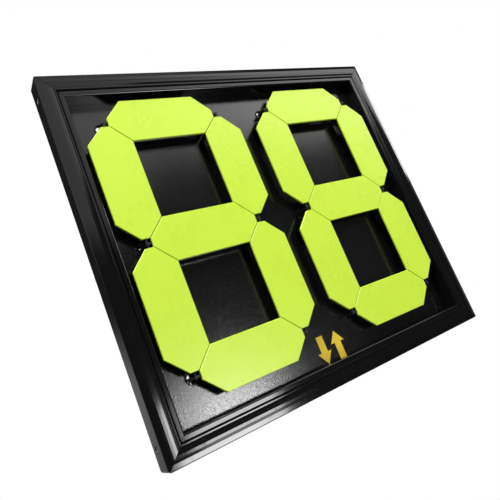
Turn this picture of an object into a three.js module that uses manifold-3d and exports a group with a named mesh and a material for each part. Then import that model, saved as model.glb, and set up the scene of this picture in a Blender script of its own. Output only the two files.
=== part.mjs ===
// Substitution board: two digits of turning flaps on each face of a panel in a moulded frame.
// Millimetres: X to the right, Y away from the viewer, Z up from the bottom edge.
import * as THREE from 'three';
import { mergeVertices } from 'three/addons/utils/BufferGeometryUtils.js';
import Module from 'manifold-3d';

const wasm = await Module();
wasm.setup();

// Whole board
const boardWidth = 446;
const boardHeight = 387;
const faceWidth = 24;

// Room around the digits
const sideMargin = 5.85;
const topMargin = 7.2;
const bottomMargin = 16.6;
const digitGap = 23.7;

// Flaps
const flapWidth = 47.4;
const flapThickness = 4.8;
const flapEdgeBevel = 0.45;
const flapGap = 0.6;
const flapTipInset = 4.9;
const passingGap = 0.48;
const socketRadius = 1.6;
const socketDepth = 6;

// Panel
const panelThickness = 3;
const turningClearance = 0.8;
const postHoleRadius = 6;
const fitGap = 0.3;

// Front frame: insets from the outer edge, laps from the inner one, rises from the flap faces
const rebateLap = 6;
const frontCornerRadius = 3;
const frontBackLap = 0.1;
const frontEdgeRounding = 0.9;
const frontEdgeRise = 3.2;
const landInset = 5.1;
const landRise = 4.15;
const crestInset = 10.4;
const crestRise = 4.45;
const crestEndLap = 8.9;
const crestEndRise = 3.65;
const ridgeWidth = 0.6;
const ridgeHeight = 0.5;
const grooveLap = 6;
const grooveRise = 2.1;
const stepLap = 5.1;
const stepRise = 3;
const lipRounding = 1.7;
const mitreGap = 0.2;

// Rear frame: the same, with its sides set in from the front frame's
const rearSideInset = 5.4;
const rearCornerRadius = 4;
const rearEdgeRounding = 1.8;
const rearLandRise = 2.65;
const rearCrestInset = 8;
const rearSlopeInset = 19;
const rearSlopeRise = 1.45;
const rearLipDrop = 3.75;

// Corner keys and side screws
const keyInset = 7.2;
const keyWidth = 6.8;
const keyLeg = 34;
const keyHalfDepth = 11.5;
const screwFromEnd = 20.6;
const screwDepth = 8;
const screwHeadRadius = 3.1;
const screwRim = 0.3;
const screwHeadHeight = 2.2;
const screwSunk = 0.5;
const screwShankRadius = 1.5;
const screwLength = 13;
const screwTipLength = 1.6;
const crossWidth = 0.8;
const crossLength = 3.8;
const crossDepth = 1.3;

// Pivot posts
const stemSide = 3.2;
const stemCorner = 0.5;
const stemSetBack = 0.75;
const pinRadius = 1.3;
const pinGripLength = 4.5;
const ringWall = 0.7;
const frontFlangeReach = 0.4;
const backFlangeReach = 0.4;
const flangeThickness = 0.5;
const spokeWidth = 1.2;

// Counts and the weld of shared points
const roundSegments = 16;
const pinSegments = 8;
const curveSegments = 4;
const cutoutSteps = 4;
const weldTolerance = 1e-3;

// Half of each flap's length between its two junctions, across and upright
const frameHalfWidth = boardWidth / 2;
const frameHalfHeight = boardHeight / 2;
const acrossReach = (frameHalfWidth - faceWidth - sideMargin - digitGap / 2 - flapWidth) / 2;
const uprightReach = (boardHeight - 2 * faceWidth - topMargin - bottomMargin - flapWidth) / 4;
const digitCentreX = digitGap / 2 + flapWidth / 2 + acrossReach;
const digitCentreHeight = faceWidth + bottomMargin + flapWidth / 2 + 2 * uprightReach;

// Depths from the panel's middle: a turning flap just passes the one behind it
const turningRadius = Math.hypot(flapWidth / 2, flapThickness / 2);
const axisDepth = (turningRadius + flapThickness / 2 + passingGap) / 2;
const flapFaceDepth = axisDepth + flapThickness / 2;
const seatDepth = panelThickness / 2 + fitGap;
const crestDepth = flapFaceDepth + crestRise;
const stemHalfLength = flapFaceDepth - stemSetBack;
const frontBackDepth = -panelThickness / 2 - frontBackLap;
const rearSeatDepth = fitGap - frontBackDepth;
const rebateInset = faceWidth - rebateLap;
const taperOffset = flapGap / Math.SQRT2;
const postRadius = postHoleRadius - fitGap;

const materials = {
  gloss: new THREE.MeshStandardMaterial({ color: 0x0c0c0d, roughness: 0.22, metalness: 0 }),
  panel: new THREE.MeshStandardMaterial({ color: 0x151516, roughness: 0.55, metalness: 0 }),
  dark: new THREE.MeshStandardMaterial({ color: 0x111112, roughness: 0.5, metalness: 0 }),
  bright: new THREE.MeshStandardMaterial({ color: 0xd6f22a, roughness: 0.3, metalness: 0 }),
  red: new THREE.MeshStandardMaterial({ color: 0xe03545, roughness: 0.3, metalness: 0 }),
  steel: new THREE.MeshStandardMaterial({ color: 0xb8b8b6, roughness: 0.3, metalness: 1 }),
};

// Joining and cutting
function toSolid(geometry) {
  const bare = geometry.clone();
  bare.deleteAttribute('normal');
  bare.deleteAttribute('uv');
  const welded = mergeVertices(bare, weldTolerance);
  const corners = Array.from(welded.index.array);
  const triVerts = [];
  for (let i = 0; i < corners.length; i += 3) {
    const [a, b, c] = corners.slice(i, i + 3);
    if (a !== b && b !== c && c !== a) triVerts.push(a, b, c);
  }
  return new wasm.Manifold(new wasm.Mesh({
    numProp: 3,
    vertProperties: Float32Array.from(welded.attributes.position.array),
    triVerts: Uint32Array.from(triVerts),
  }));
}

function toGeometry(solid) {
  const mesh = solid.getMesh();
  const geometry = new THREE.BufferGeometry();
  const positions = new Float32Array(mesh.vertProperties);
  geometry.setAttribute('position', new THREE.BufferAttribute(positions, mesh.numProp));
  geometry.setIndex(new THREE.BufferAttribute(new Uint32Array(mesh.triVerts), 1));
  geometry.computeVertexNormals();
  return geometry;
}

// Basic forms: an outline in X and Z given a thickness along Y, a block, and a turned rod along Z
function slab(shape, near, far, bevel = 0, divisions = curveSegments) {
  const geometry = new THREE.ExtrudeGeometry(shape, {
    depth: far - near - 2 * bevel,
    bevelEnabled: bevel > 0,
    bevelThickness: bevel,
    bevelSize: bevel,
    bevelOffset: -bevel,
    bevelSegments: 1,
    curveSegments: divisions,
    steps: 1,
  });
  geometry.rotateX(Math.PI / 2);
  geometry.translate(0, far - bevel, 0);
  return geometry;
}

function block(left, right, near, far, low, high) {
  const geometry = new THREE.BoxGeometry(right - left, far - near, high - low);
  geometry.translate((left + right) / 2, (near + far) / 2, (low + high) / 2);
  return geometry;
}

function turned(profile, segments) {
  const points = profile.map(([radius, height]) => new THREE.Vector2(radius, height));
  return new THREE.LatheGeometry(points, segments).rotateX(Math.PI / 2);
}

function outline(points) {
  return new THREE.Shape(points.map(([x, z]) => new THREE.Vector2(x, z)));
}

function roundedRectangle(left, right, low, high, radius) {
  const shape = new THREE.Shape();
  shape.moveTo(left + radius, low);
  shape.absarc(right - radius, low + radius, radius, -Math.PI / 2, 0);
  shape.absarc(right - radius, high - radius, radius, 0, Math.PI / 2);
  shape.absarc(left + radius, high - radius, radius, Math.PI / 2, Math.PI);
  shape.absarc(left + radius, low + radius, radius, Math.PI, 1.5 * Math.PI);
  return shape;
}

// Frame mouldings: profiles of inset from the outer edge against depth from the panel
function frontProfile() {
  const shape = new THREE.Shape();
  const edgeDepth = flapFaceDepth + frontEdgeRise;
  const crestEndDepth = flapFaceDepth + crestEndRise;
  const ridgeDepth = crestEndDepth + ridgeHeight;
  const stepDepth = flapFaceDepth + stepRise;
  const crestEndInset = faceWidth - crestEndLap;
  shape.moveTo(0, frontBackDepth);
  shape.lineTo(0, edgeDepth - frontEdgeRounding);
  shape.quadraticCurveTo(0, edgeDepth, frontEdgeRounding, edgeDepth);
  shape.lineTo(landInset, flapFaceDepth + landRise);
  shape.quadraticCurveTo(crestInset, crestDepth, crestEndInset, crestEndDepth);
  shape.lineTo(crestEndInset + ridgeWidth, ridgeDepth);
  shape.lineTo(crestEndInset + 3 * ridgeWidth, ridgeDepth);
  shape.lineTo(faceWidth - grooveLap, flapFaceDepth + grooveRise);
  shape.lineTo(faceWidth - stepLap, stepDepth);
  shape.lineTo(faceWidth - lipRounding, stepDepth);
  shape.quadraticCurveTo(faceWidth, stepDepth, faceWidth, stepDepth - lipRounding);
  shape.lineTo(faceWidth, seatDepth);
  shape.lineTo(rebateInset, seatDepth);
  shape.lineTo(rebateInset, frontBackDepth);
  return shape.extractPoints(curveSegments).shape;
}

function rearProfile(insetShare) {
  const shape = new THREE.Shape();
  const rearLandDepth = flapFaceDepth + rearLandRise;
  shape.moveTo(0, rearSeatDepth);
  shape.lineTo(0, rearLandDepth - rearEdgeRounding);
  shape.quadraticCurveTo(0, rearLandDepth, rearEdgeRounding * insetShare, rearLandDepth);
  shape.lineTo(rearCrestInset * insetShare, crestDepth);
  shape.quadraticCurveTo(
    rearSlopeInset * insetShare,
    crestDepth,
    rearSlopeInset * insetShare,
    flapFaceDepth + rearSlopeRise,
  );
  shape.lineTo(faceWidth * insetShare, flapFaceDepth - rearLipDrop);
  shape.lineTo(faceWidth * insetShare, rearSeatDepth);
  return shape.extractPoints(curveSegments).shape;
}

// A bar along X with its outer edge on z = 0; each end runs back mitreShare for each step inward
function moulding(profile, halfLength, mitreShare) {
  const points = profile.filter((point, i) => {
    const next = profile[(i + 1) % profile.length];
    return point.distanceTo(next) > weldTolerance;
  });
  if (THREE.ShapeUtils.isClockWise(points)) points.reverse();
  const count = points.length;
  const positions = [];
  for (const side of [-1, 1]) {
    for (const { x: inset, y: depth } of points) {
      positions.push(side * (halfLength - inset * mitreShare - mitreGap), -depth, inset);
    }
  }
  const index = [];
  for (const [a, b, c] of THREE.ShapeUtils.triangulateShape(points, [])) {
    index.push(a, c, b, count + a, count + b, count + c);
  }
  for (let i = 0; i < count; i += 1) {
    const next = (i + 1) % count;
    index.push(i, next, count + next, i, count + next, count + i);
  }
  const geometry = new THREE.BufferGeometry();
  geometry.setAttribute('position', new THREE.Float32BufferAttribute(positions, 3));
  geometry.setIndex(index);
  return geometry;
}

// An L-shaped corner key, or the pocket that takes it; the corner is at (cornerX, cornerZ)
function keyForm(side, cornerX, cornerZ, gap) {
  const near = keyInset - gap;
  const far = keyInset + keyWidth + gap;
  const end = keyInset + keyLeg + gap;
  const corners = [[near, near], [end, near], [end, far], [far, far], [far, end], [near, end]];
  const placed = corners.map(([x, z]) => [side * (cornerX - x), cornerZ + z]);
  return slab(outline(placed), -keyHalfDepth - gap, keyHalfDepth + gap);
}

// A countersunk screw along +Z with the face of its head on z = 0, or the hole that takes it
function screwForm(gap, mouth) {
  return turned([
    [0, -mouth],
    [screwHeadRadius + gap, -mouth],
    [screwHeadRadius + gap, screwRim],
    [screwShankRadius + gap, screwHeadHeight + gap],
    [screwShankRadius + gap, screwLength - screwTipLength + gap],
    [screwShankRadius / 2 + gap, screwLength + gap],
    [0, screwLength + gap],
  ], 2 * pinSegments);
}

function sideScrew() {
  const arm = [crossLength / 2, crossWidth / 2];
  const slotA = block(-arm[0], arm[0], -arm[1], arm[1], -crossDepth, crossDepth);
  const slotB = block(-arm[1], arm[1], -arm[0], arm[0], -crossDepth, crossDepth);
  const cross = toSolid(slotA).add(toSolid(slotB));
  return toGeometry(toSolid(screwForm(0, 0)).subtract(cross));
}

function frameBar(bar) {
  const room = roundedRectangle(
    -bar.halfLength,
    bar.halfLength,
    0,
    2 * bar.halfLength,
    bar.cornerRadius,
  );
  const depth = 2 * crestDepth;
  let solid = toSolid(moulding(bar.profile, bar.halfLength, bar.mitreShare));
  solid = solid.intersect(toSolid(slab(room, -depth, depth)));
  for (const side of [-1, 1]) {
    solid = solid.subtract(toSolid(keyForm(side, bar.keyCornerX, bar.keyCornerZ, fitGap)));
    if (bar.screwed) {
      const hole = screwForm(fitGap, 2 * screwSunk);
      hole.translate(side * (bar.halfLength - screwFromEnd), -screwDepth, screwSunk);
      solid = solid.subtract(toSolid(hole));
    }
  }
  return toGeometry(solid);
}

// A flap along X: two long sides, four tapers at 45 degrees and a blunt tip at each end
function flap(reach) {
  const tip = reach - flapTipInset;
  const shoulder = reach - flapWidth / 2 - taperOffset;
  const tipHalf = flapTipInset - taperOffset;
  const half = flapWidth / 2;
  const shape = outline([
    [tip, -tipHalf],
    [tip, tipHalf],
    [shoulder, half],
    [-shoulder, half],
    [-tip, tipHalf],
    [-tip, -tipHalf],
    [-shoulder, -half],
    [shoulder, -half],
  ]);
  const socket = [
    [0, -socketDepth],
    [socketRadius, -socketDepth],
    [socketRadius, socketDepth],
    [0, socketDepth],
  ];
  let solid = toSolid(slab(shape, -flapThickness / 2, flapThickness / 2, flapEdgeBevel));
  for (const end of [-tip, tip]) {
    const hole = turned(socket, pinSegments).rotateY(Math.PI / 2).translate(end, 0, 0);
    solid = solid.subtract(toSolid(hole));
  }
  return toGeometry(solid);
}

// The opening that a turning flap sweeps out of the panel, along X about its centre
function sweptOpening(reach) {
  const reachToPanel = axisDepth - panelThickness / 2;
  const narrowest = Math.sqrt(reachToPanel ** 2 - (flapThickness / 2) ** 2);
  const widest = Math.sqrt((flapWidth / 2) ** 2 - narrowest ** 2);
  const quarter = [];
  for (let i = 0; i <= cutoutSteps; i += 1) {
    const half = (widest * i) / cutoutSteps;
    const fromJunction = Math.hypot(half, narrowest) + taperOffset - turningClearance;
    quarter.push([reach - fromJunction, half + turningClearance]);
  }
  const right = quarter.map(([x, z]) => [x, -z]).reverse().concat(quarter);
  const left = right.map(([x, z]) => [-x, z]).reverse();
  return right.concat(left);
}

const digitCentres = { left: -digitCentreX, right: digitCentreX };
const rows = { top: 2 * uprightReach, middle: 0, bottom: -2 * uprightReach };
const sides = { left: -acrossReach, right: acrossReach };
const flapPlaces = {
  top: { x: 0, z: rows.top, upright: false },
  upper_left: { x: sides.left, z: uprightReach, upright: true },
  upper_right: { x: sides.right, z: uprightReach, upright: true },
  middle: { x: 0, z: 0, upright: false },
  lower_left: { x: sides.left, z: -uprightReach, upright: true },
  lower_right: { x: sides.right, z: -uprightReach, upright: true },
  bottom: { x: 0, z: rows.bottom, upright: false },
};

function panel() {
  const halfWidth = frameHalfWidth - rebateInset - fitGap;
  const low = rebateInset + fitGap;
  const high = boardHeight - low;
  const shape = outline([[-halfWidth, low], [halfWidth, low], [halfWidth, high], [-halfWidth, high]]);
  const across = sweptOpening(acrossReach);
  const upright = sweptOpening(uprightReach);
  for (const centre of Object.values(digitCentres)) {
    for (const place of Object.values(flapPlaces)) {
      const x = centre + place.x;
      const z = digitCentreHeight + place.z;
      const opening = place.upright
        ? upright.map(([along, aside]) => [x - aside, z + along])
        : across.map(([along, aside]) => [x + along, z + aside]);
      shape.holes.push(outline(opening));
    }
    for (const row of Object.values(rows)) {
      for (const side of Object.values(sides)) {
        const hole = new THREE.Path();
        hole.absarc(centre + side, digitCentreHeight + row, postHoleRadius, 0, 2 * Math.PI);
        shape.holes.push(hole);
      }
    }
  }
  return slab(shape, -panelThickness / 2, panelThickness / 2, 0, roundSegments / 2);
}

// A pivot post along Y: a ring snapped into the panel, two spokes, a stem and pins to each flap
function pivotPost(directions) {
  const bore = postRadius - ringWall;
  const face = seatDepth + flangeThickness;
  const ring = new THREE.LatheGeometry([
    [bore, -face],
    [postRadius + frontFlangeReach, -face],
    [postRadius + frontFlangeReach, -seatDepth],
    [postRadius, -seatDepth],
    [postRadius, seatDepth],
    [postRadius + backFlangeReach, seatDepth],
    [postRadius, face],
    [bore, face],
    [bore, -face],
  ].map(([radius, depth]) => new THREE.Vector2(radius, depth)), roundSegments);
  const half = stemSide / 2;
  const cut = half - stemCorner;
  const stem = outline([
    [half, -cut],
    [half, cut],
    [cut, half],
    [-cut, half],
    [-half, cut],
    [-half, -cut],
    [-cut, -half],
    [cut, -half],
  ]);
  let solid = toSolid(ring).add(toSolid(slab(stem, -stemHalfLength, stemHalfLength)));
  const spokeReach = (bore + postRadius) / 2;
  const spoke = block(-spokeReach, spokeReach, -seatDepth, seatDepth, -spokeWidth / 2, spokeWidth / 2);
  solid = solid.add(toSolid(spoke.rotateY(-Math.PI / 4)));
  const pinLength = flapTipInset + pinGripLength;
  for (const [x, z] of directions) {
    for (const face of [-1, 1]) {
      const pin = turned([[0, 0], [pinRadius, 0], [pinRadius, pinLength], [0, pinLength]], pinSegments);
      pin.rotateY(Math.atan2(x, z));
      pin.translate(0, face * axisDepth, 0);
      solid = solid.add(toSolid(pin));
    }
  }
  return toGeometry(solid);
}

// Assembly
const board = new THREE.Group();

function group(...position) {
  const made = new THREE.Group();
  made.position.set(...position);
  board.add(made);
  return made;
}

function place(parent, name, geometry, material, position, rotation = [0, 0, 0]) {
  const mesh = new THREE.Mesh(geometry, material);
  mesh.name = name;
  mesh.position.set(...position);
  mesh.rotation.set(...rotation);
  parent.add(mesh);
}

// Both frames: the long bars lie along X, the short ones are turned upright
const rearHalfWidth = frameHalfWidth - rearSideInset;
const rearSideShare = (faceWidth - rearSideInset) / faceWidth;
const frontLong = {
  profile: frontProfile(),
  halfLength: frameHalfWidth,
  mitreShare: 1,
  cornerRadius: frontCornerRadius,
  keyCornerX: frameHalfWidth,
  keyCornerZ: 0,
  screwed: false,
};
const frontShort = {
  ...frontLong,
  halfLength: frameHalfHeight,
  keyCornerX: frameHalfHeight,
  screwed: true,
};
const rearLong = {
  ...frontLong,
  profile: rearProfile(1),
  halfLength: rearHalfWidth,
  mitreShare: rearSideShare,
  cornerRadius: rearCornerRadius,
};
const rearShort = {
  ...rearLong,
  profile: rearProfile(rearSideShare),
  halfLength: frameHalfHeight,
  mitreShare: 1 / rearSideShare,
  keyCornerX: frameHalfHeight,
  keyCornerZ: -rearSideInset,
};

const barPlaces = {
  bottom: { x: 0, z: 0, turn: 0 },
  top: { x: 0, z: boardHeight, turn: Math.PI },
  left: { x: -1, z: frameHalfHeight, turn: Math.PI / 2 },
  right: { x: 1, z: frameHalfHeight, turn: -Math.PI / 2 },
};

for (const [name, bar] of Object.entries(barPlaces)) {
  const upright = bar.x !== 0;
  const front = frameBar(upright ? frontShort : frontLong);
  const rear = frameBar(upright ? rearShort : rearLong);
  const rearName = `${upright ? 'rear_stile' : 'rear_rail'}_${name}`;
  const frontAt = [bar.x * frameHalfWidth, 0, bar.z];
  const rearAt = [bar.x * rearHalfWidth, 0, bar.z];
  place(board, `front_bar_${name}`, front, materials.gloss, frontAt, [0, bar.turn, 0]);
  place(board, rearName, rear, materials.gloss, rearAt, [0, bar.turn, Math.PI]);
}

place(board, 'panel', panel(), materials.panel, [0, 0, 0]);

// Corner keys and side screws
for (const [side, sign] of [['left', -1], ['right', 1]]) {
  for (const [level, low, turn] of [['lower', 0, 0], ['upper', boardHeight, Math.PI]]) {
    const inward = turn === 0 ? 1 : -1;
    const key = toSolid(keyForm(sign * inward, frameHalfWidth, 0, 0));
    const shank = screwForm(fitGap, 0);
    shank.rotateY((-sign * inward * Math.PI) / 2);
    shank.translate(sign * inward * (frameHalfWidth - screwSunk), -screwDepth, screwFromEnd);
    const keyAt = [0, 0, low];
    const drilled = toGeometry(key.subtract(toSolid(shank)));
    place(board, `corner_key_${level}_${side}`, drilled, materials.dark, keyAt, [0, turn, 0]);
    const screwAt = [sign * (frameHalfWidth - screwSunk), -screwDepth, low + inward * screwFromEnd];
    const screwTurn = [0, (-sign * Math.PI) / 2, 0];
    place(board, `side_screw_${level}_${side}`, sideScrew(), materials.steel, screwAt, screwTurn);
  }
}

// Digits: six posts each, and a flap between each pair of posts on both faces
for (const [digit, centre] of Object.entries(digitCentres)) {
  const posts = group(centre, 0, digitCentreHeight);
  for (const [row, z] of Object.entries(rows)) {
    for (const [side, x] of Object.entries(sides)) {
      const directions = [[-Math.sign(x), 0]];
      if (row !== 'top') directions.push([0, 1]);
      if (row !== 'bottom') directions.push([0, -1]);
      const name = `pivot_post_${digit}_${row}_${side}`;
      place(posts, name, pivotPost(directions), materials.dark, [x, 0, z]);
    }
  }
  for (const [face, sign] of [['front', -1], ['back', 1]]) {
    const flaps = group(-sign * centre, sign * axisDepth, digitCentreHeight);
    const number = digit === 'left' ? 'tens' : 'ones';
    for (const [name, { x, z, upright }] of Object.entries(flapPlaces)) {
      const turn = [0, upright ? Math.PI / 2 : 0, 0];
      const colour = face === 'front' ? materials.bright : materials.red;
      const form = flap(upright ? uprightReach : acrossReach);
      place(flaps, `${face}_${number}_${name}_flap`, form, colour, [-sign * x, 0, z], turn);
    }
  }
}

export default board;
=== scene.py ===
# Substitution board: finishes, printed marks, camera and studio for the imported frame.
import math

import bpy
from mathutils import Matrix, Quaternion, Vector


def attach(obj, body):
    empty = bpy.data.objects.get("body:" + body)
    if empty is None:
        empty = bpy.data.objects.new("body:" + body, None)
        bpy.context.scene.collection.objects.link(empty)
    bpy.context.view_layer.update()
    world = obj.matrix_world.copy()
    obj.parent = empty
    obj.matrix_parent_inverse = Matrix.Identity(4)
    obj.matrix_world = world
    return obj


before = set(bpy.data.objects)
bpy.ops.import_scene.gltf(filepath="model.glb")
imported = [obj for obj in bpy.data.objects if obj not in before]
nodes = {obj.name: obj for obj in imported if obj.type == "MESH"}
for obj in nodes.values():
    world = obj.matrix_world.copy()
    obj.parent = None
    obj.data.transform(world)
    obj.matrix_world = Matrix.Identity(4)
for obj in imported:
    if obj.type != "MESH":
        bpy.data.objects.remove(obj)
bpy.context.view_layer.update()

MM = 0.001

# Which way each face of the board looks along Y
FRONT = -1.0
BACK = 1.0

# Depths from the middle plane of the panel
FLAP_AXIS_DEPTH = 13.35 * MM
PANEL_FACE_DEPTH = 1.5 * MM

# Colours, linear
FRAME_BLACK = (0.0045, 0.0046, 0.0049, 1.0)
DUST_GREY = (0.11, 0.11, 0.11, 1.0)
PANEL_BLACK = (0.0052, 0.0052, 0.0053, 1.0)
PEBBLE_BLACK = (0.003, 0.003, 0.003, 1.0)
PIVOT_BLACK = (0.0045, 0.0045, 0.0047, 1.0)
KEY_GREY = (0.0200, 0.0200, 0.0210, 1.0)
WORN_GREY = (0.03, 0.03, 0.03, 1.0)
FLAP_BLACK = (0.0090, 0.0090, 0.0092, 1.0)
SPECK_GREY = (0.25, 0.25, 0.22, 1.0)
BRIGHT_YELLOW = (0.620, 0.860, 0.062, 1.0)
BRIGHT_RED = (0.800, 0.045, 0.060, 1.0)
SCREW_STEEL = (0.620, 0.610, 0.590, 1.0)
STAINED_STEEL = (0.36, 0.34, 0.31, 1.0)
MARK_YELLOW = (0.800, 0.560, 0.020, 1.0)
STUDIO_WHITE = (1.0, 1.0, 1.0, 1.0)
UNLIT = (0.0, 0.0, 0.0, 1.0)

# How strongly a surface mirrors
GLOSSY_IOR = 1.5
SATIN_IOR = 1.48
PANEL_IOR = 1.72

# Sockets of the Mix node when it mixes colours
MIX_FACTOR = 0
MIX_LOW = 6
MIX_HIGH = 7
MIX_COLOUR = 2


# Shader maths as Python expressions
class Wire:
    """A socket in a tree of shader nodes; arithmetic on it adds Math nodes."""

    def __init__(self, tree, socket):
        self.tree = tree
        self.socket = socket

    def maths(self, operation, *values):
        settings = {"operation": operation}
        return self.tree.add("Math", settings, dict(enumerate(values)))

    def __add__(self, other):
        return self.maths("ADD", self, other)

    def __radd__(self, other):
        return self.maths("ADD", other, self)

    def __sub__(self, other):
        return self.maths("SUBTRACT", self, other)

    def __rsub__(self, other):
        return self.maths("SUBTRACT", other, self)

    def __mul__(self, other):
        return self.maths("MULTIPLY", self, other)

    def __rmul__(self, other):
        return self.maths("MULTIPLY", other, self)

    def size(self):
        return self.maths("ABSOLUTE", self)

    def between(self, start, end):
        """0 at start, 1 at end, smooth between them and level beyond; end may be the lower."""
        settings = {"interpolation_type": "SMOOTHSTEP"}
        values = {"Value": self, "From Min": start, "From Max": end}
        return self.tree.add("MapRange", settings, values)


class NodeTree:
    """A tree of shader nodes; every node comes from add, its settings first, its values after."""

    def __init__(self, tree):
        self.tree = tree

    def add(self, kind, settings=None, values=None, output=0):
        node = self.tree.nodes.new("ShaderNode" + kind)
        for name, value in (settings or {}).items():
            setattr(node, name, value)
        for socket, value in (values or {}).items():
            self.feed(node.inputs[socket], value)
        return Wire(self, node.outputs[output])

    def feed(self, socket, value):
        if isinstance(value, Wire):
            self.tree.links.new(value.socket, socket)
        else:
            socket.default_value = value


class Finish(NodeTree):
    """A material whose pattern follows the places on a surface, in metres, with the board at rest."""

    def __init__(self, name, **constants):
        self.material = bpy.data.materials.new(name)
        self.material.use_nodes = True
        super().__init__(self.material.node_tree)
        self.shader = self.tree.nodes["Principled BSDF"]
        self.surface(**constants)
        self.places = self.add("TexCoord", output="Object")

    def along(self, axis):
        return self.add("SeparateXYZ", values={0: self.places}, output=axis)

    def squeezed(self, x=1.0, y=1.0, z=1.0):
        """The places, for a pattern squeezed along each axis by the number for it."""
        settings = {"operation": "MULTIPLY"}
        return self.add("VectorMath", settings, {0: self.places, 1: (x, y, z)})

    def noise(self, scale, detail=3.0, roughness=0.5, places=None):
        values = {
            "Vector": places or self.places,
            "Scale": scale,
            "Detail": detail,
            "Roughness": roughness,
        }
        return self.add("TexNoise", values=values)

    def cells(self, scale):
        """The distance from the middle of the nearest cell."""
        values = {"Vector": self.places, "Scale": scale}
        return self.add("TexVoronoi", values=values, output="Distance")

    def blend(self, mask, low, high):
        """The colour low where mask is 0 and high where it is 1."""
        settings = {"data_type": "RGBA"}
        values = {MIX_FACTOR: mask, MIX_LOW: low, MIX_HIGH: high}
        return self.add("Mix", settings, values, MIX_COLOUR)

    def relief(self, height, depth, strength=1.0):
        values = {"Height": height, "Distance": depth, "Strength": strength}
        return self.add("Bump", values=values)

    def surface(self, **sockets):
        for name, value in sockets.items():
            self.feed(self.shader.inputs[name.replace("_", " ")], value)
        return self.material


def dimmed(colour, share):
    return tuple(channel * share for channel in colour[:3]) + (1.0,)


# Finishes
def moulded_gloss(name, colour):
    """Glossy black frame moulding: a slight ripple, hairline scuffs and a little dust."""
    polish = 0.07
    drift_dulling = 0.06
    scuff_dulling = 0.06
    dust_cover = 0.35
    ripple_depth = 0.01 * MM

    finish = Finish(name, IOR=GLOSSY_IOR)
    drift = finish.noise(scale=14.0, detail=2.0)
    drawn_out = finish.squeezed(y=3.0)
    scuffs = finish.noise(scale=90.0, detail=4.0, roughness=0.6, places=drawn_out)
    scuffs = scuffs.between(0.56, 0.74)
    motes = finish.cells(scale=900.0).between(0.10, 0.05)
    dusty_areas = finish.noise(scale=40.0).between(0.55, 0.70)
    ripple = finish.noise(scale=260.0, detail=2.0)
    return finish.surface(
        Base_Color=finish.blend(motes * dusty_areas * dust_cover, colour, DUST_GREY),
        Roughness=polish + drift * drift_dulling + scuffs * scuff_dulling,
        Normal=finish.relief(ripple, ripple_depth, strength=0.4),
    )


def grained_panel(name, colour):
    """Black sheet with a fine pebbled grain."""
    polish = 0.10
    drift_dulling = 0.05
    pebble_dulling = 0.10
    pebble_shade = 0.6
    grain_depth = 0.07 * MM

    finish = Finish(name, IOR=PANEL_IOR)
    pebbles = finish.noise(scale=800.0, detail=2.0)
    shaded = pebbles.between(0.35, 0.65)
    dulled = pebbles.between(0.46, 0.60)
    drift = finish.noise(scale=30.0)
    return finish.surface(
        Base_Color=finish.blend(shaded * pebble_shade, colour, PEBBLE_BLACK),
        Roughness=polish + drift * drift_dulling + dulled * pebble_dulling,
        Normal=finish.relief(pebbles, grain_depth),
    )


def moulded_satin(name, colour, polish=0.45):
    """Plain black moulded plastic with a faint spark-eroded texture."""
    grit_dulling = 0.12
    wear = 0.25
    grit_depth = 0.03 * MM

    finish = Finish(name, IOR=SATIN_IOR)
    grit = finish.noise(scale=2200.0, roughness=0.6)
    handled_areas = finish.noise(scale=60.0).between(0.4, 0.8)
    return finish.surface(
        Base_Color=finish.blend(handled_areas * wear, colour, WORN_GREY),
        Roughness=polish + grit * grit_dulling,
        Normal=finish.relief(grit, grit_depth, strength=0.5),
    )


def two_sided_flap(name, colour, face):
    """Glossy flap: fluorescent on its outer half, black on the half that turns out of sight."""
    colour_edge = 0.10 * MM
    deeper_share = 0.97
    speck_cover = 0.30
    polish = 0.26
    cloud_dulling = 0.03
    scratch_dulling = 0.05
    skin_depth = 0.01 * MM

    finish = Finish(name, IOR=GLOSSY_IOR)
    outward = finish.along("Y") * face - FLAP_AXIS_DEPTH
    outer_half = outward.between(-colour_edge, colour_edge)
    cloud = finish.noise(scale=35.0, roughness=0.55)
    tone = finish.blend(cloud.between(0.35, 0.65), dimmed(colour, deeper_share), colour)
    skin = finish.blend(outer_half, FLAP_BLACK, tone)
    specks = finish.cells(scale=520.0).between(0.07, 0.03)
    specked_areas = finish.noise(scale=70.0).between(0.58, 0.72)
    drawn_out = finish.squeezed(x=6.0, z=1.3)
    scratches = finish.noise(scale=55.0, detail=5.0, roughness=0.65, places=drawn_out)
    scratches = scratches.between(0.60, 0.75)
    skin_grain = finish.noise(scale=900.0, detail=2.0)
    return finish.surface(
        Base_Color=finish.blend(specks * specked_areas * speck_cover, skin, SPECK_GREY),
        Roughness=polish + cloud * cloud_dulling + scratches * scratch_dulling,
        Normal=finish.relief(skin_grain, skin_depth, strength=0.4),
    )


def turned_steel(name, colour):
    """Bright zinc-plated screw steel with fine turning lines."""
    stain_cover = 0.5
    polish = 0.36
    line_dulling = 0.16
    line_depth = 0.02 * MM

    finish = Finish(name, Metallic=1.0)
    drawn_out = finish.squeezed(x=4.0)
    lines = finish.noise(scale=1500.0, roughness=0.6, places=drawn_out)
    stains = finish.noise(scale=420.0).between(0.45, 0.75)
    return finish.surface(
        Base_Color=finish.blend(stains * stain_cover, colour, STAINED_STEEL),
        Roughness=polish + lines * line_dulling,
        Normal=finish.relief(lines, line_depth, strength=0.6),
    )


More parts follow.
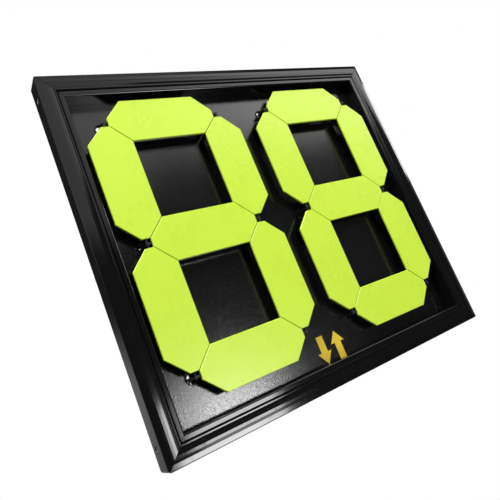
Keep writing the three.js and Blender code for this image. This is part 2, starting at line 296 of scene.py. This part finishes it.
def printed_ink(name, colour):
    """Screen-printed ink, very slightly uneven at the grain of the panel under it."""
    thin_share = 0.72
    thin_cover = 0.5
    polish = 0.45
    drift_dulling = 0.12
    ink_depth = 0.03 * MM

    finish = Finish(name, IOR=GLOSSY_IOR)
    thin_spots = finish.cells(scale=760.0).between(0.55, 0.85)
    drift = finish.noise(scale=300.0)
    tooth = finish.noise(scale=1800.0)
    return finish.surface(
        Base_Color=finish.blend(thin_spots * thin_cover, colour, dimmed(colour, thin_share)),
        Roughness=polish + drift * drift_dulling,
        Normal=finish.relief(tooth, ink_depth, strength=0.5),
    )


frame_gloss = moulded_gloss("frame_gloss", FRAME_BLACK)
panel_grain = grained_panel("panel_grain", PANEL_BLACK)
pivot_plastic = moulded_satin("pivot_plastic", PIVOT_BLACK)
key_plastic = moulded_satin("key_plastic", KEY_GREY, polish=0.55)
screw_steel = turned_steel("screw_steel", SCREW_STEEL)
yellow_flap = two_sided_flap("yellow_flap", BRIGHT_YELLOW, FRONT)
red_flap = two_sided_flap("red_flap", BRIGHT_RED, BACK)
yellow_ink = printed_ink("yellow_ink", MARK_YELLOW)
red_ink = printed_ink("red_ink", BRIGHT_RED)

# Edge rounding of the CAD nodes
FRAME_ROUNDING = 0.35 * MM
POST_ROUNDING = 0.12 * MM
SCREW_ROUNDING = 0.10 * MM
FLAP_ROUNDING = 0.18 * MM
NO_ROUNDING = 0.0
ROUNDING_STEPS = 2
SHARPER_THAN = math.radians(28.0)
JOINED_WITHIN = 0.001 * MM

# Finish and edge rounding of each kind of node, by the start of its name
NODE_LOOKS = {
    "front_bar": (frame_gloss, FRAME_ROUNDING),
    "rear_rail": (frame_gloss, FRAME_ROUNDING),
    "rear_stile": (frame_gloss, FRAME_ROUNDING),
    "panel": (panel_grain, NO_ROUNDING),
    "pivot_post": (pivot_plastic, POST_ROUNDING),
    "corner_key": (key_plastic, NO_ROUNDING),
    "side_screw": (screw_steel, SCREW_ROUNDING),
    "front_tens": (yellow_flap, FLAP_ROUNDING),
    "front_ones": (yellow_flap, FLAP_ROUNDING),
    "back_tens": (red_flap, FLAP_ROUNDING),
    "back_ones": (red_flap, FLAP_ROUNDING),
}


def dress(node, finish, rounding):
    """Gives a node its finish, and rounds its edges once its loose triangles are joined."""
    node.data.materials.clear()
    node.data.materials.append(finish)
    if rounding > 0.0:
        joined = node.modifiers.new("joined_faces", "WELD")
        joined.merge_threshold = JOINED_WITHIN
        edge = node.modifiers.new("rounded_edges", "BEVEL")
        edge.width = rounding
        edge.segments = ROUNDING_STEPS
        edge.limit_method = "ANGLE"
        edge.angle_limit = SHARPER_THAN
        edge.harden_normals = True


for name, node in nodes.items():
    for start, (finish, rounding) in NODE_LOOKS.items():
        if name.startswith(start):
            dress(node, finish, rounding)


# Printed marks: a plain up arrow and a plain down arrow at the foot of the panel
MARK_CENTRE_X = -3.0 * MM
MARK_CENTRE_Z = 39.0 * MM
MARK_THICKNESS = 0.12 * MM
ARROW_SPACING = 22.0 * MM
ARROW_LENGTH = 31.0 * MM
ARROW_HEAD_WIDTH = 19.0 * MM
ARROW_HEAD_LENGTH = 13.0 * MM
ARROW_SHAFT_WIDTH = 9.0 * MM


def arrow_outline(x, z, up):
    """The corners of one arrow round its centre, pointing up for 1 and down for -1."""
    half = ARROW_LENGTH / 2
    neck = half - ARROW_HEAD_LENGTH
    points = [
        (0.0, half),
        (-ARROW_HEAD_WIDTH / 2, neck),
        (-ARROW_SHAFT_WIDTH / 2, neck),
        (-ARROW_SHAFT_WIDTH / 2, -half),
        (ARROW_SHAFT_WIDTH / 2, -half),
        (ARROW_SHAFT_WIDTH / 2, neck),
        (ARROW_HEAD_WIDTH / 2, neck),
    ]
    return [(x + u * up, z + v * up) for u, v in points]


def printed_mark(name, face, finish):
    """A pair of arrows in ink on one face of the panel."""
    vertices = []
    faces = []
    for side in (-1, 1):
        centre = MARK_CENTRE_X * -face + side * ARROW_SPACING / 2
        outline = arrow_outline(centre, MARK_CENTRE_Z, side * -face)
        start = len(vertices)
        count = len(outline)
        for depth in (PANEL_FACE_DEPTH, PANEL_FACE_DEPTH + MARK_THICKNESS):
            vertices += [(x, face * depth, z) for x, z in outline]
        base = [start + i for i in range(count)]
        top = [start + count + i for i in range(count)]
        faces += [base, top[::-1]]
        for i in range(count):
            after = (i + 1) % count
            faces.append([base[after], base[i], top[i], top[after]])
    mesh = bpy.data.meshes.new(name)
    mesh.from_pydata(vertices, [], faces)
    mesh.validate()
    mesh.materials.append(finish)
    piece = bpy.data.objects.new(name, mesh)
    bpy.context.collection.objects.link(piece)
    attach(piece, "board")


printed_mark("front_printed_arrows", FRONT, yellow_ink)
printed_mark("back_printed_arrows", BACK, red_ink)


# Surround of the studio: directions in the board's frame, strengths, and where each fades in
UPWARD = (0.0, 0.0, 1.0)
LEFTWARD = (-1.0, 0.0, 0.0)
REARWARD = (0.0, 1.0, 0.0)
REAR_RIGHT = (0.75, 0.65, 0.12)
DIM_LIGHT = 0.03
CEILING_LIGHT = 0.5
CEILING_FADE = (0.70, 0.80)
REAR_CEILING_GAIN = 1.5
REAR_FADE = (0.0, 0.3)
LEFT_LIGHT = 1.5
LEFT_FADE = (0.78, 0.90)
LEFT_FOOT = (0.17, 0.36)
SIDE_LIGHT = 0.20
SIDE_FADE = (0.90, 0.99)
REAR_RIGHT_LIGHT = 0.5
REAR_RIGHT_FADE = (0.75, 0.97)
BEHIND_LIGHT = 0.7
BEHIND_FADE = (0.92, 0.99)
BEHIND_TOP = (0.0, 0.20)
SEEN_BRIGHTNESS = 1.0


def surround():
    """A surround that the camera sees as plain white, and that lights the board in parts."""
    world = bpy.data.worlds.new("studio")
    bpy.context.scene.world = world
    world.use_nodes = True
    studio = NodeTree(world.node_tree)
    toward = studio.add("TexCoord", output="Generated")

    def along(direction):
        settings = {"operation": "DOT_PRODUCT"}
        return studio.add("VectorMath", settings, {0: toward, 1: direction}, "Value")

    height = along(UPWARD)
    leftward = along(LEFTWARD)
    rearward = along(REARWARD)
    rear_right = along(REAR_RIGHT)
    ceiling = height.between(*CEILING_FADE)
    ceiling = ceiling * (CEILING_LIGHT + rearward.between(*REAR_FADE) * REAR_CEILING_GAIN)
    left = leftward.between(*LEFT_FADE) * height.between(*LEFT_FOOT) * LEFT_LIGHT
    behind = rearward.between(*BEHIND_FADE) * (1.0 - height.between(*BEHIND_TOP)) * BEHIND_LIGHT
    sides = leftward.size().between(*SIDE_FADE) * SIDE_LIGHT
    sides = sides + rear_right.between(*REAR_RIGHT_FADE) * REAR_RIGHT_LIGHT
    strength = DIM_LIGHT + ceiling + left + behind + sides
    lit = studio.add("Background", values={"Color": STUDIO_WHITE, "Strength": strength})
    seen = studio.add("Background", values={"Color": STUDIO_WHITE, "Strength": SEEN_BRIGHTNESS})
    by_camera = studio.add("LightPath", output="Is Camera Ray")
    choice = studio.add("MixShader", values={0: by_camera, 1: lit, 2: seen})
    studio.feed(studio.tree.nodes["World Output"].inputs["Surface"], choice)


# A long glowing band in front and above, whose reflection makes the streaks on the moulding
BAND_DISTANCE = 0.90
BAND_LEFT = -1.60
BAND_RIGHT = 2.00
BAND_FOOT = 0.44
BAND_TOP = 1.38
BAND_RISE = (0.05, 1.00)
BAND_FOOT_FADE = (0.44, 0.57)
BAND_FOOT_STEP = 0.26
BAND_FOOT_STEP_FADE = (0.10, 0.36)
BAND_DARK_END = (0.66, 0.66, 0.66, 1.0)
BAND_BRIGHT_END = (2.50, 2.50, 2.50, 1.0)
BAND_GLOW = 1.0


def glowing_band():
    mesh = bpy.data.meshes.new("glowing_band")
    corners = [
        (BAND_LEFT, -BAND_DISTANCE, BAND_FOOT),
        (BAND_RIGHT, -BAND_DISTANCE, BAND_FOOT),
        (BAND_RIGHT, -BAND_DISTANCE, BAND_TOP),
        (BAND_LEFT, -BAND_DISTANCE, BAND_TOP),
    ]
    mesh.from_pydata(corners, [], [(3, 2, 1, 0)])
    glow = Finish("band_glow", Base_Color=UNLIT, Emission_Strength=BAND_GLOW)
    across = glow.along("X")
    tone = glow.blend(across.between(*BAND_RISE), BAND_DARK_END, BAND_BRIGHT_END)
    above_foot = glow.along("Z") - across.between(*BAND_FOOT_STEP_FADE) * BAND_FOOT_STEP
    tone = glow.blend(above_foot.between(*BAND_FOOT_FADE), UNLIT, tone)
    mesh.materials.append(glow.surface(Emission_Color=tone))
    band = bpy.data.objects.new("glowing_band", mesh)
    bpy.context.collection.objects.link(band)
    band.visible_camera = False
    band.visible_shadow = False


# Soft lights: azimuth to the right, elevation, width and height in degrees, and radiance
LIGHTS = {
    "low_light": (24.5, -6.2, 12.0, 6.8, 13.5),
    "strip_light": (25.5, -28.5, 11.0, 40.0, 3.3),
    "floor_light": (27.5, -32.0, 14.0, 7.0, 15.0),
    "right_light": (72.0, 18.0, 18.0, 12.0, 6.0),
    "upper_left_light": (-40.0, 62.0, 32.0, 26.0, 16.8),
    "rear_light": (165.0, 62.0, 30.0, 26.0, 14.0),
}
LIGHT_TARGET = Vector((-0.12, 0.0, 0.10))
LIGHT_DISTANCE = 3.0


def softbox(name, azimuth, elevation, width, height, radiance):
    azimuth = math.radians(azimuth)
    elevation = math.radians(elevation)
    level = math.cos(elevation)
    toward = Vector((math.sin(azimuth) * level, -math.cos(azimuth) * level, math.sin(elevation)))
    data = bpy.data.lights.new(name, "AREA")
    data.shape = "RECTANGLE"
    data.size = LIGHT_DISTANCE * math.radians(width)
    data.size_y = LIGHT_DISTANCE * math.radians(height)
    data.energy = radiance * math.pi * data.size * data.size_y
    lamp = bpy.data.objects.new(name, data)
    lamp.location = LIGHT_TARGET + toward * LIGHT_DISTANCE
    lamp.rotation_mode = "QUATERNION"
    lamp.rotation_quaternion = (-toward).to_track_quat("-Z", "Y")
    lamp.visible_camera = False
    bpy.context.collection.objects.link(lamp)


# Camera of the photograph, in metres in the board's frame
CAMERA_PLACE = Vector((-0.35417, -0.45318, 0.06697))
CAMERA_TARGET = Vector((-0.06353, -0.01570, 0.16552))
CAMERA_ROLL = math.radians(-22.18)
CAMERA_LENS = 36.307
SENSOR_WIDTH = 36.0
NEAREST_SEEN = 10.0 * MM
VIEW_AXIS = Vector((0.0, 0.0, 1.0))


def camera():
    data = bpy.data.cameras.new("photograph_view")
    data.lens = CAMERA_LENS
    data.sensor_width = SENSOR_WIDTH
    data.clip_start = NEAREST_SEEN
    eye = bpy.data.objects.new("photograph_view", data)
    eye.location = CAMERA_PLACE
    level = (CAMERA_TARGET - CAMERA_PLACE).to_track_quat("-Z", "Y")
    eye.rotation_mode = "QUATERNION"
    eye.rotation_quaternion = level @ Quaternion(VIEW_AXIS, CAMERA_ROLL)
    bpy.context.collection.objects.link(eye)
    bpy.context.scene.camera = eye


surround()
glowing_band()
for name, aim in LIGHTS.items():
    softbox(name, *aim)
camera()
bpy.context.scene.view_settings.view_transform = "Standard"
